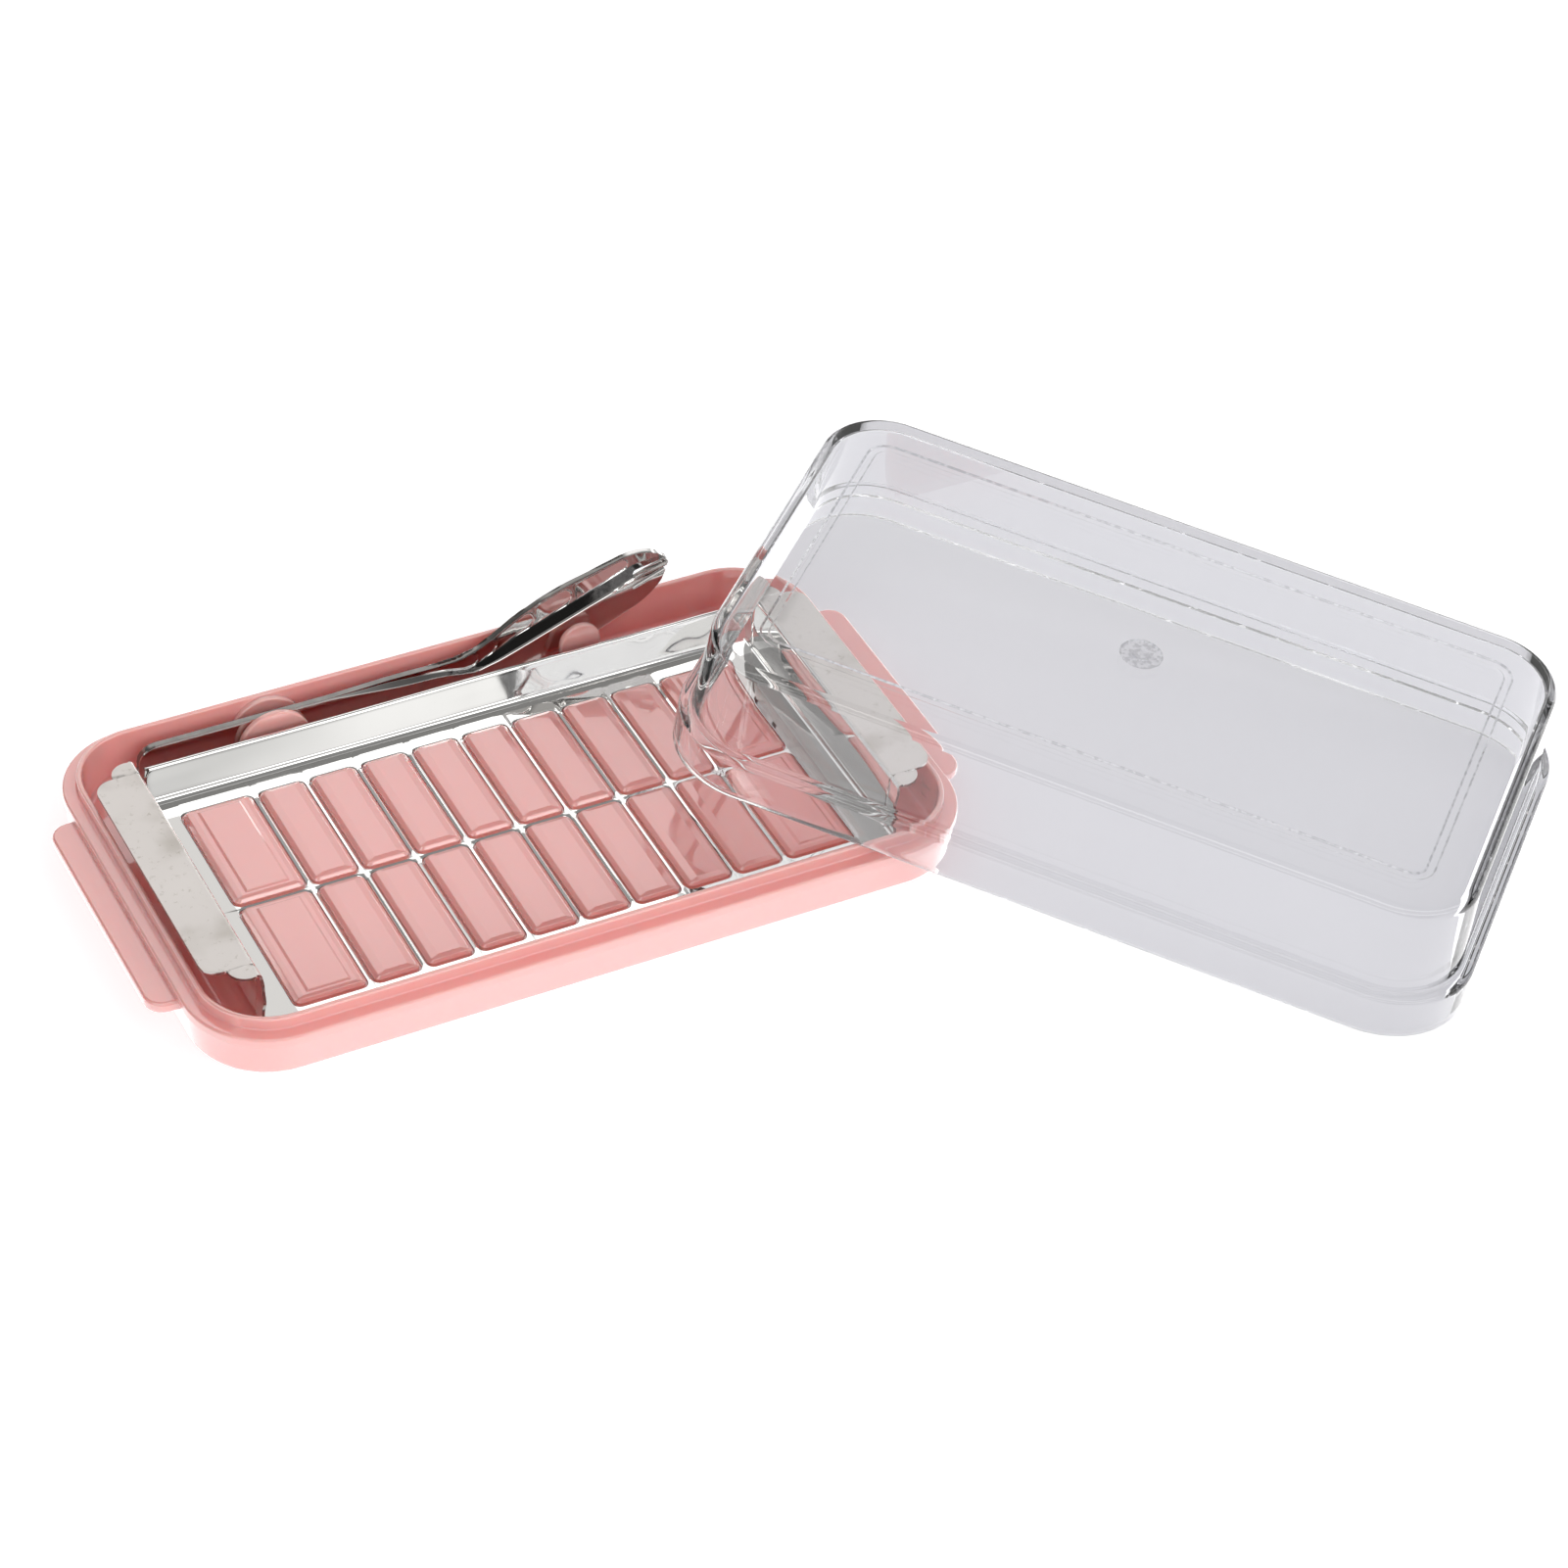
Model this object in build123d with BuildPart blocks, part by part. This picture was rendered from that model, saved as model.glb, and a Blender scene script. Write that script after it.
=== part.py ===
from build123d import *
import os
from math import asin, atan, atan2, cos, degrees, radians, sin, tan

# Butter cutting and storage case: a moulded tray, a stamped cutter that is pressed down through a
# block of butter by its two wings, a butter knife held on edge by four clips, and a clear lid.
# Millimetres. +X runs along the tray, +Y towards the knife clips, +Z up.
# The origin is the centre of the tray's underside.

# ---- butter grid, shared by the cutter's windows and the tray's pads
column_pitch = 11.5
narrow_columns = 8
end_column_width = 16.5
row_depth = 31.3
bar_width = 1.0
window_corner_radius = 1.6
grid_y = -3.7

# ---- tray
tray_inner_length = 161.4
tray_inner_width = 91.0
tray_inner_corner = 13.8
tray_height = 12.9
tray_floor = 2.5
tray_wall_draft = 4.0
floor_fillet = 1.5
lip_width = 1.1
lip_edge_radius = 0.45
ledge_width = 3.0
ledge_drop = 2.8
rim_edge_radius = 0.6
rim_band_height = 2.2
rim_band_step = 0.3
skirt_draft = 7.0
foot_radius = 0.9

# ---- grip tab at each end of the tray
tab_length = 58.2
tab_reach = 5.6
tab_thickness = 2.6
tab_top = 8.2
tab_corner_radius = 4.0
tab_root_radius = 2.0
tab_edge_radius = 0.8

# ---- pads on the tray floor, one in each window of the cutter
pad_clearance = 0.3
pad_rise = 1.05
pad_slope_width = 1.5
end_pad_shoulder = 0.9
end_pad_step = 0.3
end_pad_radius = 0.8

# ---- knife clips: round-topped discs in pairs, the slot between them takes the knife
clip_inset = 6.5
clip_thickness = 1.4
clip_slot = 3.8
handle_clip_x = -36.4
handle_clip_radius = 8.1
handle_clip_top = 12.6
blade_clip_x = 33.7
blade_clip_radius = 4.7
blade_clip_top = 13.6
clip_edge_radius = 0.4

# ---- cutter, one stamping of stainless sheet
sheet = 0.6
cutter_length = 141.0
cutter_front_border = 4.8
bend_radius = 0.9
back_bend_inset = 7.3
back_bend_radius = 2.3
back_wall_lean = 28.0
back_wall_rise = 5.6
back_wall_length = 133.0
hem_rise = 1.4
hem_gap = 0.3
wing_top = 16.5
wing_width = 10.2
wing_y = -2.3
wing_fold_length = 69.2
wing_edge_length = 53.2
wing_notch_x = 5.7
wing_notch_y = 4.2
wing_scallop_bulge = 1.1

# ---- butter knife, one stamping of stainless sheet
knife_sheet = 1.3
knife_clearance = 0.3
handle_end_x = -66.0
handle_top = 11.1
handle_corner_radius = 4.0
neck_x = 9.5
blade_bend = (26.0, 20.7)
blade_crown = (47.0, 28.0)
blade_point = (54.0, 24.8)
blade_nose = (54.9, 22.2)
blade_toe = (53.9, 19.0)
belly_curve = (48.5, 12.5)
belly_start = (36.0, 7.7)
belly_heel_x = 18.0
spine_radius = 13.0
dish_start = (-26.4, 10.9)
dish_bend = (11.3, 6.9)
dish_end = (46.9, 21.2)
dish_bend_radius = 23.0
dish_depth = 1.6
dish_slope_width = 2.9
tine_slot_width = 1.4
tine_slot_length = 11.0
upper_slot = (47.4, 21.8)
lower_slot = (47.6, 18.8)
tine_slot_angle = 21.0
tine_tip_radius = 0.4
pocket_lengths = (5.6, 8.0, 8.0, 10.0)
pocket_gap = 0.7
pocket_width = 2.2
pocket_depth = 0.35
pocket_start = (11.5, 11.9)
pocket_middle = (28.0, 19.1)
pocket_end = (45.0, 24.7)

# ---- lid: its right end lies on the table and its front edge crosses the tray's lip
lid_length = 171.8
lid_width = 101.2
lid_corner_radius = 19.0
lid_height = 30.6
lid_wall = 2.0
lid_skirt_height = 9.6
lid_shoulder_width = 2.6
lid_shoulder_radius = 1.1
lid_skirt_draft = 1.5
lid_wall_draft = 3.6
lid_top_radius = 2.1
lid_ceiling_radius = 0.8
lid_edge_radius = 0.5
lid_groove_length = 143.4
lid_groove_width = 72.4
lid_groove_corner = 4.5
lid_groove_band = 1.7
lid_groove_depth = 0.35
lid_gate_radius = 4.5
lid_gate_nub_radius = 1.6
lid_x = 119.0
lid_y = -40.9
lid_turn = -47.3
lid_rest_gap = 0.1

# ---- how closely two places match when an edge or a face is picked by its place
match = 0.01

# ---- worked-out places
window_width = column_pitch - bar_width
window_depth = row_depth - bar_width / 2
row_y = bar_width / 2 + window_depth / 2
grid_length = narrow_columns * column_pitch + 2 * end_column_width
end_window_width = end_column_width - bar_width / 2
end_window_x = grid_length / 2 - end_window_width / 2
sheet_top = tray_floor + sheet
tray_length = tray_inner_length + 2 * (lip_width + ledge_width)
tray_width = tray_inner_width + 2 * (lip_width + ledge_width)
tray_corner = tray_inner_corner + lip_width + ledge_width
ledge_top = tray_height - ledge_drop
skirt_top = ledge_top - rim_band_height
clip_front_y = tray_inner_width / 2 - clip_inset
clip_back_y = clip_front_y + clip_thickness + clip_slot
knife_y = clip_front_y + clip_thickness + knife_clearance

os.makedirs("parts", exist_ok=True)


def upright(y):
    """Plane facing the front at a given Y: its own axes are the part's X and Z."""
    return Plane(origin=(0, y, 0), x_dir=(1, 0, 0), z_dir=(0, -1, 0))


# ---- tray: skirt, rim and lip in one piece with its grip tabs, pads and knife clips
with BuildPart() as tray:
    # plate that carries the two grip tabs; within the skirt it disappears
    plate_inset = 2 * rim_band_step + (skirt_top - tab_top + tab_thickness) * tan(radians(skirt_draft))
    with BuildSketch(Plane.XY.offset(tab_top - tab_thickness)) as tab_plate:
        plate_length = tray_length - 2 * plate_inset
        RectangleRounded(plate_length, tray_width - 2 * plate_inset, tray_corner - plate_inset)
        Rectangle(tray_length + 2 * tab_reach, tab_length)
        corners = tab_plate.vertices().group_by(lambda v: abs(v.X))
        fillet(corners[-1], tab_corner_radius)
        roots = tab_plate.vertices().filter_by(lambda v: abs(abs(v.X) - plate_length / 2) < match)
        fillet(roots.filter_by(lambda v: abs(abs(v.Y) - tab_length / 2) < match), tab_root_radius)
    extrude(amount=tab_thickness)
    fillet(tray.faces().filter_by(Axis.Z).edges(), tab_edge_radius)

    with BuildSketch(Plane.XY.offset(skirt_top)):
        RectangleRounded(
            tray_length - 2 * rim_band_step, tray_width - 2 * rim_band_step, tray_corner - rim_band_step
        )
    extrude(amount=-skirt_top, taper=skirt_draft)
    fillet(tray.faces().sort_by(Axis.Z)[0].edges(), foot_radius)

    with BuildSketch(Plane.XY.offset(skirt_top)):
        RectangleRounded(tray_length, tray_width, tray_corner)
    extrude(amount=rim_band_height)
    fillet(tray.faces().sort_by(Axis.Z)[-1].edges(), rim_edge_radius)

    with BuildSketch(Plane.XY.offset(ledge_top)):
        RectangleRounded(
            tray_inner_length + 2 * lip_width,
            tray_inner_width + 2 * lip_width,
            tray_inner_corner + lip_width,
        )
    extrude(amount=ledge_drop)
    with BuildSketch(Plane.XY.offset(tray_height)):
        RectangleRounded(tray_inner_length, tray_inner_width, tray_inner_corner)
    extrude(amount=-(tray_height - tray_floor), taper=tray_wall_draft, mode=Mode.SUBTRACT)
    fillet(tray.faces().sort_by(Axis.Z)[-1].edges(), lip_edge_radius)
    level_faces = tray.faces().filter_by(Axis.Z)
    fillet(level_faces.filter_by(lambda f: abs(f.center().Z - tray_floor) < match).edges(), floor_fillet)

    # pads: straight up to the cutter's top, then sloping in all round
    pad_slope = degrees(atan(pad_slope_width / pad_rise))
    pad_radius = window_corner_radius - pad_clearance
    for spacing, columns, width in (
        (column_pitch, narrow_columns, window_width),
        (2 * end_window_x, 2, end_window_width),
    ):
        pad_size = (width - 2 * pad_clearance, window_depth - 2 * pad_clearance)
        for base, rise, slope in ((tray_floor, sheet, 0), (sheet_top, pad_rise, pad_slope)):
            with BuildSketch(Plane.XY.offset(base)):
                with Locations((0, grid_y)):
                    with GridLocations(spacing, 2 * row_y, columns, 2):
                        RectangleRounded(*pad_size, pad_radius)
            extrude(amount=rise, taper=slope)

    # the end pads carry a second, lower step
    panel_inset = 2 * (pad_clearance + pad_slope_width + end_pad_shoulder)
    with BuildSketch(Plane.XY.offset(sheet_top + pad_rise)):
        with Locations((0, grid_y)):
            with GridLocations(2 * end_window_x, 2 * row_y, 2, 2):
                RectangleRounded(end_window_width - panel_inset, window_depth - panel_inset, end_pad_radius)
    extrude(amount=end_pad_step, taper=pad_slope)

    # clips: the front discs stand free, the back ones grow out of the wall
    wall_middle = tray_inner_width / 2 + lip_width / 2
    for clip_x, clip_radius, clip_top in (
        (handle_clip_x, handle_clip_radius, handle_clip_top),
        (blade_clip_x, blade_clip_radius, blade_clip_top),
    ):
        for face_y, depth in ((clip_front_y, clip_thickness), (clip_back_y, wall_middle - clip_back_y)):
            top = clip_top if face_y == clip_front_y else min(clip_top, tray_height - lip_edge_radius)
            with BuildSketch(upright(face_y)):
                with BuildLine():
                    Polyline(
                        (clip_x - clip_radius, top - clip_radius),
                        (clip_x - clip_radius, tray_floor),
                        (clip_x + clip_radius, tray_floor),
                        (clip_x + clip_radius, top - clip_radius),
                    )
                    ThreePointArc(
                        (clip_x + clip_radius, top - clip_radius),
                        (clip_x, top),
                        (clip_x - clip_radius, top - clip_radius),
                    )
                make_face()
            extrude(amount=-depth)
            circles = tray.edges().filter_by(GeomType.CIRCLE)
            arcs = circles.filter_by(lambda e: abs(e.radius - clip_radius) < match)
            fillet(arcs.filter_by(lambda e: abs(e.center().Y - face_y) < match), clip_edge_radius)
tray.part.label = "tray"
export_step(tray.part, "parts/tray.step")

# ---- cutter grid: the flat of the stamping, 20 windows between thin bars, with a border on every side
front_edge = grid_y - row_depth - cutter_front_border
flat_back = clip_front_y - back_bend_inset
side_mid = cutter_length / 2 - sheet / 2
sheet_mid = tray_floor + sheet / 2
with BuildPart() as cutter_grid:
    with BuildSketch(Plane.XY.offset(tray_floor)):
        with Locations((0, (front_edge + flat_back) / 2)):
            Rectangle(2 * (side_mid - bend_radius), flat_back - front_edge)
        with Locations((0, grid_y)):
            with GridLocations(column_pitch, 2 * row_y, narrow_columns, 2):
                RectangleRounded(window_width, window_depth, window_corner_radius, mode=Mode.SUBTRACT)
            with GridLocations(2 * end_window_x, 2 * row_y, 2, 2):
                RectangleRounded(end_window_width, window_depth, window_corner_radius, mode=Mode.SUBTRACT)
    extrude(amount=sheet)
cutter_grid.part.label = "cutter_grid"
export_step(cutter_grid.part, "parts/cutter_grid.step")

# ---- cutter back wall: bent up from the flat in a gentle radius until it leans back a little, its top
# edge folded back and down as a hem
with BuildPart() as cutter_back_wall:
    with BuildSketch(Plane.YZ.offset(-back_wall_length / 2)):
        with BuildLine() as back_path:
            bend = JernArc((flat_back, sheet_mid), (1, 0), back_bend_radius, 90 - back_wall_lean)
            rise = PolarLine(bend @ 1, back_wall_rise, direction=bend % 1)
            fold = JernArc(rise @ 1, rise % 1, (sheet + hem_gap) / 2, -180)
            PolarLine(fold @ 1, hem_rise, direction=fold % 1)
        trace(back_path.line, line_width=sheet)
    extrude(amount=back_wall_length)
cutter_back_wall.part.label = "cutter_back_wall"
export_step(cutter_back_wall.part, "parts/cutter_back_wall.step")

# ---- cutter wings: the flat's two ends bent up, then turned out at the top into grips
wing_mid = wing_top - sheet / 2
for side, wing_name in ((-1, "cutter_left_wing"), (1, "cutter_right_wing")):
    with BuildPart() as wing:
        with BuildSketch(upright(wing_y + wing_fold_length / 2)):
            with BuildLine() as side_path:
                RadiusArc(
                    (side * (side_mid - bend_radius), sheet_mid),
                    (side * side_mid, sheet_mid + bend_radius),
                    -side * bend_radius,
                )
                Line((side * side_mid, sheet_mid + bend_radius), (side * side_mid, wing_mid - bend_radius))
                RadiusArc(
                    (side * side_mid, wing_mid - bend_radius),
                    (side * (side_mid + bend_radius), wing_mid),
                    side * bend_radius,
                )
            trace(side_path.line, line_width=sheet)
        extrude(amount=wing_fold_length)

        # the wing's ends are cut in two scallops with a notch between them
        root = side * (side_mid + bend_radius)
        edge = side * (side_mid + wing_width)
        notch = side * (side_mid + wing_notch_x)
        bulge_x = side * wing_scallop_bulge
        with BuildSketch(Plane.XY.offset(wing_top)):
            with BuildLine():
                for end in (-1, 1):
                    fold_y = wing_y + end * wing_fold_length / 2
                    edge_y = wing_y + end * wing_edge_length / 2
                    notch_y = edge_y + end * wing_notch_y
                    bulge_y = end * wing_scallop_bulge
                    ThreePointArc(
                        (root, fold_y),
                        ((root + notch) / 2 + bulge_x, (fold_y + notch_y) / 2 + bulge_y),
                        (notch, notch_y),
                    )
                    ThreePointArc(
                        (notch, notch_y),
                        ((notch + edge) / 2 + bulge_x, (notch_y + edge_y) / 2 + bulge_y),
                        (edge, edge_y),
                    )
                Line((edge, wing_y - wing_edge_length / 2), (edge, wing_y + wing_edge_length / 2))
                Line((root, wing_y - wing_fold_length / 2), (root, wing_y + wing_fold_length / 2))
            make_face()
        extrude(amount=-sheet)
    wing.part.label = wing_name
    export_step(wing.part, f"parts/{wing_name}.step")

# ---- butter knife: flat handle, a dished back to the blade with pressed pockets, and a three-tined tip
with BuildPart() as butter_knife:
    dish_slope = degrees(atan(dish_slope_width / dish_depth))
    back_shift = knife_sheet * tan(radians(90 - dish_slope) / 2)
    above = blade_crown[1] + dish_slope_width + knife_sheet

    # the dish's far side stands out at the back of the sheet
    with BuildSketch(upright(knife_y + knife_sheet)):
        with BuildLine():
            FilletPolyline(dish_start, dish_bend, dish_end, radius=dish_bend_radius)
            Polyline(dish_end, (blade_nose[0], above), (dish_start[0], above), dish_start)
        make_face()
        offset(amount=back_shift, kind=Kind.INTERSECTION)
    extrude(amount=-dish_depth, taper=dish_slope)

    for start_y, depth, mode in (
        (knife_y + knife_sheet, dish_depth, Mode.INTERSECT),
        (knife_y, knife_sheet, Mode.ADD),
    ):
        with BuildSketch(upright(start_y)) as outline:
            with BuildLine():
                FilletPolyline(
                    (handle_end_x, tray_floor),
                    (handle_end_x, handle_top),
                    (neck_x, handle_top),
                    blade_bend,
                    blade_crown,
                    blade_point,
                    radius=(handle_corner_radius, spine_radius, spine_radius, spine_radius),
                )
                ThreePointArc(blade_point, blade_nose, blade_toe)
                ThreePointArc(blade_toe, belly_curve, belly_start)
                Polyline(belly_start, (belly_heel_x, tray_floor), (handle_end_x, tray_floor))
            make_face()
            for slot_start in (upper_slot, lower_slot):
                with Locations(slot_start):
                    with Locations(Rotation(0, 0, tine_slot_angle)):
                        with Locations((tine_slot_length / 2, 0)):
                            SlotCenterToCenter(tine_slot_length, tine_slot_width, mode=Mode.SUBTRACT)
            fillet(outline.vertices().filter_by(lambda v: v.X > belly_curve[0]), tine_tip_radius)
        extrude(amount=-depth, mode=mode)

    with BuildSketch(upright(knife_y)):
        with BuildLine():
            FilletPolyline(dish_start, dish_bend, dish_end, radius=dish_bend_radius)
            Polyline(dish_end, (blade_nose[0], above), (dish_start[0], above), dish_start)
        make_face()
    extrude(amount=-dish_depth, taper=dish_slope, mode=Mode.SUBTRACT)

    # pockets pressed into the dish's floor, end to end along the blade
    with BuildSketch(upright(knife_y + dish_depth)):
        pocket_line = ThreePointArc(pocket_start, pocket_middle, pocket_end, mode=Mode.PRIVATE)
        travelled = 0
        for length in pocket_lengths:
            share = (travelled + length / 2) / pocket_line.length
            run = pocket_line.tangent_at(share)
            with Locations(pocket_line.position_at(share)):
                SlotOverall(length, pocket_width, rotation=degrees(atan2(run.Y, run.X)))
            travelled += length + pocket_gap
    extrude(amount=-pocket_depth, mode=Mode.SUBTRACT)
butter_knife.part.label = "butter_knife"
export_step(butter_knife.part, "parts/butter_knife.step")

# ---- lid: skirt, shoulder and drafted walls round a flat top
lid_reach_y = lid_width / 2 - lid_wall
heading = radians(lid_turn)
cross_x = (-(tray_width / 2 - ledge_width) - lid_y + lid_reach_y * cos(heading)) / sin(heading)
lid_tilt = asin((tray_height + lid_rest_gap) / (lid_length / 2 - cross_x))
lid_lift = (lid_length / 2 - lid_edge_radius) * sin(lid_tilt) + lid_edge_radius * (1 - cos(lid_tilt))
lid_plane = Plane(
    origin=(lid_x, lid_y, lid_lift),
    x_dir=(cos(lid_tilt) * cos(heading), cos(lid_tilt) * sin(heading), -sin(lid_tilt)),
    z_dir=(sin(lid_tilt) * cos(heading), sin(lid_tilt) * sin(heading), cos(lid_tilt)),
)
lid_up = Axis(lid_plane.origin, lid_plane.z_dir)
with BuildPart() as lid:
    for shell, mode in ((0, Mode.ADD), (lid_wall, Mode.SUBTRACT)):
        skirt_end = lid_skirt_height - shell
        with BuildSketch(lid_plane):
            RectangleRounded(lid_length - 2 * shell, lid_width - 2 * shell, lid_corner_radius - shell)
        extrude(amount=skirt_end, taper=lid_skirt_draft, mode=mode)
        wall_foot = lid_skirt_height * tan(radians(lid_skirt_draft)) + lid_shoulder_width + shell
        with BuildSketch(lid_plane.offset(skirt_end)):
            RectangleRounded(
                lid_length - 2 * wall_foot,
                lid_width - 2 * wall_foot,
                lid_corner_radius - wall_foot,
            )
        extrude(amount=lid_height - lid_skirt_height, taper=lid_wall_draft, mode=mode)

    # the level faces from the top down: top, ceiling, both sides of the shoulder and the rim
    for level, radius in (
        (4, lid_top_radius),
        (3, lid_ceiling_radius),
        (2, lid_shoulder_radius),
        (1, lid_shoulder_radius),
        (0, lid_edge_radius),
    ):
        level_face = lid.faces().filter_by(lid_plane).sort_by(lid_up)[level]
        fillet(level_face.edges(), radius)

    with BuildSketch(lid_plane.offset(lid_height)):
        RectangleRounded(lid_groove_length, lid_groove_width, lid_groove_corner)
        RectangleRounded(
            lid_groove_length - 2 * lid_groove_band,
            lid_groove_width - 2 * lid_groove_band,
            lid_groove_corner - lid_groove_band,
            mode=Mode.SUBTRACT,
        )
        Circle(lid_gate_radius)
        Circle(lid_gate_nub_radius, mode=Mode.SUBTRACT)
    extrude(amount=-lid_groove_depth, mode=Mode.SUBTRACT)
lid.part.label = "lid"
export_step(lid.part, "parts/lid.step")
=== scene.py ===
import bmesh
import bpy
import numpy as np
from math import asin, cos, pi, radians, sin, tan
from mathutils import Matrix


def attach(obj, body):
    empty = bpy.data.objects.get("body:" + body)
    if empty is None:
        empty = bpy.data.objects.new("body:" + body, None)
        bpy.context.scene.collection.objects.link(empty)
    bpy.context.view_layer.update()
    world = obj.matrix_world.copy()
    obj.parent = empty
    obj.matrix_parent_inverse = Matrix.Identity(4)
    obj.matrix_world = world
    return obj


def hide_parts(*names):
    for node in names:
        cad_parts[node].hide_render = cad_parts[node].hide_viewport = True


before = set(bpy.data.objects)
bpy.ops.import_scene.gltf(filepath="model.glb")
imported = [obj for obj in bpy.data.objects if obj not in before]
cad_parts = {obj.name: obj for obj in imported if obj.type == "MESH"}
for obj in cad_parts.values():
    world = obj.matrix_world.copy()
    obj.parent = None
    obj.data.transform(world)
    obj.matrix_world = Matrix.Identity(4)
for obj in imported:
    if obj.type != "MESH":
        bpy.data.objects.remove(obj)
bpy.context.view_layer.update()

# ---- tray shell: skirt, rim band, ledge and lip of one glossy injection-moulded pink plastic piece.
# It is open at the top, with a flat floor and a rounded foot that it stands on.

# millimetres, from the middle of the tray's underside; X and Y alone are half sizes, and names that end in
# IN are measured inwards from the outline
TRAY_X, TRAY_Y, TRAY_CORNER = 84.8, 49.6, 17.9
TRAY_FLOOR, SKIRT_TOP, LEDGE_TOP, TRAY_LIP = 2.5, 7.9, 10.1, 12.9
FOOT_IN, BAND_STEP, LEDGE_WIDTH, LIP_WIDTH, FLOOR_IN, FLAT_IN = 1.245, 0.3, 3.0, 1.1, 4.827, 30.0


def softened(points, steps=6):
    """A run of (a, b, radius) corners as one line: at each corner an arc of that radius touches both
    sides, and a radius of 0 leaves the corner sharp."""
    points = np.array(points, float)
    out = [points[0, :2]]
    for before, here, after in zip(points[:-2], points[1:-1], points[2:]):
        if here[2] == 0:
            out.append(here[:2])
            continue
        to_before, to_after = before[:2] - here[:2], after[:2] - here[:2]
        to_before /= np.hypot(*to_before)
        to_after /= np.hypot(*to_after)
        half = np.arccos(np.clip(to_before @ to_after, -1, 1)) / 2
        reach = here[2] / np.tan(half)
        middle = to_before + to_after
        centre = here[:2] + middle / np.hypot(*middle) * here[2] / np.sin(half)
        first = here[:2] + to_before * reach - centre
        last = here[:2] + to_after * reach - centre
        turn = pi - 2 * half
        share = np.linspace(0, 1, steps + 1)[:, None]
        out.extend(centre + (np.sin((1 - share) * turn) * first + np.sin(share * turn) * last) / np.sin(turn))
    out.append(points[-1, :2])
    return np.array(out)


def surface(x, y, z):
    """A grid of points from its coordinates, each of which may be the same along its rows or its columns."""
    return np.stack(np.broadcast_arrays(x, y, z), -1)


def rings(profile, half_x, half_y, corner, steps=14, wider=1.0):
    """Stacked rounded rectangles: profile row (o, z) gives the outline grown by o on every side, at height
    z. Each corner is a quarter circle about its own centre, so the grown outline stays parallel, unless it
    grows wider times as much along x as along y."""
    turn = np.linspace(0, pi / 2, steps + 1)
    angle = (turn + np.arange(4)[:, None] * pi / 2).ravel()
    sign_x = np.repeat([1, -1, -1, 1], steps + 1)
    sign_y = np.repeat([1, 1, -1, -1], steps + 1)
    grow, height = profile[:, :1], profile[:, 1:]
    radius = np.maximum(corner + grow, 0.02)
    x = sign_x * (half_x + wider * grow - radius) + radius * np.cos(angle)
    y = sign_y * (half_y + grow - radius) + radius * np.sin(angle)
    return surface(x, y, height)


def woven(grid, around=False, capped=False):
    """The points and faces of a grid: each cell is one quad. Around joins the last column to the first, and
    capped closes the first and the last row of such a tube with a fan to their middles."""
    rows, cols = grid.shape[:2]
    index = np.arange(rows * cols).reshape(rows, cols)
    if around:
        index = np.concatenate([index, index[:, :1]], 1)
    quads = np.stack([index[:-1, :-1], index[:-1, 1:], index[1:, 1:], index[1:, :-1]], -1)
    points, faces = grid.reshape(-1, 3), quads.reshape(-1, 4).tolist()
    if capped:
        first, last = index[0], index[-1]
        faces += np.stack([first[1:], first[:-1], np.full(cols, rows * cols)], -1).tolist()
        faces += np.stack([last[:-1], last[1:], np.full(cols, rows * cols + 1)], -1).tolist()
        points = np.concatenate([points, grid[:1].mean(1), grid[-1:].mean(1)])
    return points, faces


def evened(made):
    """Keeps large faces flat to the light, so that it turns in the rounded edges beside them."""
    weighted = made.modifiers.new("even normals", "WEIGHTED_NORMAL")
    weighted.keep_sharp = True


def piece(name, body, parts, crease=35.0):
    """One mesh object that moves with a body, from parts of (points in millimetres, faces), smooth but for
    its edges that are sharper than crease degrees."""
    points, faces, count = [], [], 0
    for part_points, part_faces in parts:
        points.append(part_points)
        faces += [[corner + count for corner in face] for face in part_faces]
        count += len(part_points)
    mesh = bpy.data.meshes.new(name)
    mesh.from_pydata((np.concatenate(points) / 1000).tolist(), [], faces)
    mesh.validate()
    mesh.shade_smooth()
    mesh.set_sharp_from_angle(angle=radians(crease))
    made = bpy.data.objects.new(name, mesh)
    bpy.context.scene.collection.objects.link(made)
    evened(made)
    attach(made, body)
    return made


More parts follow.
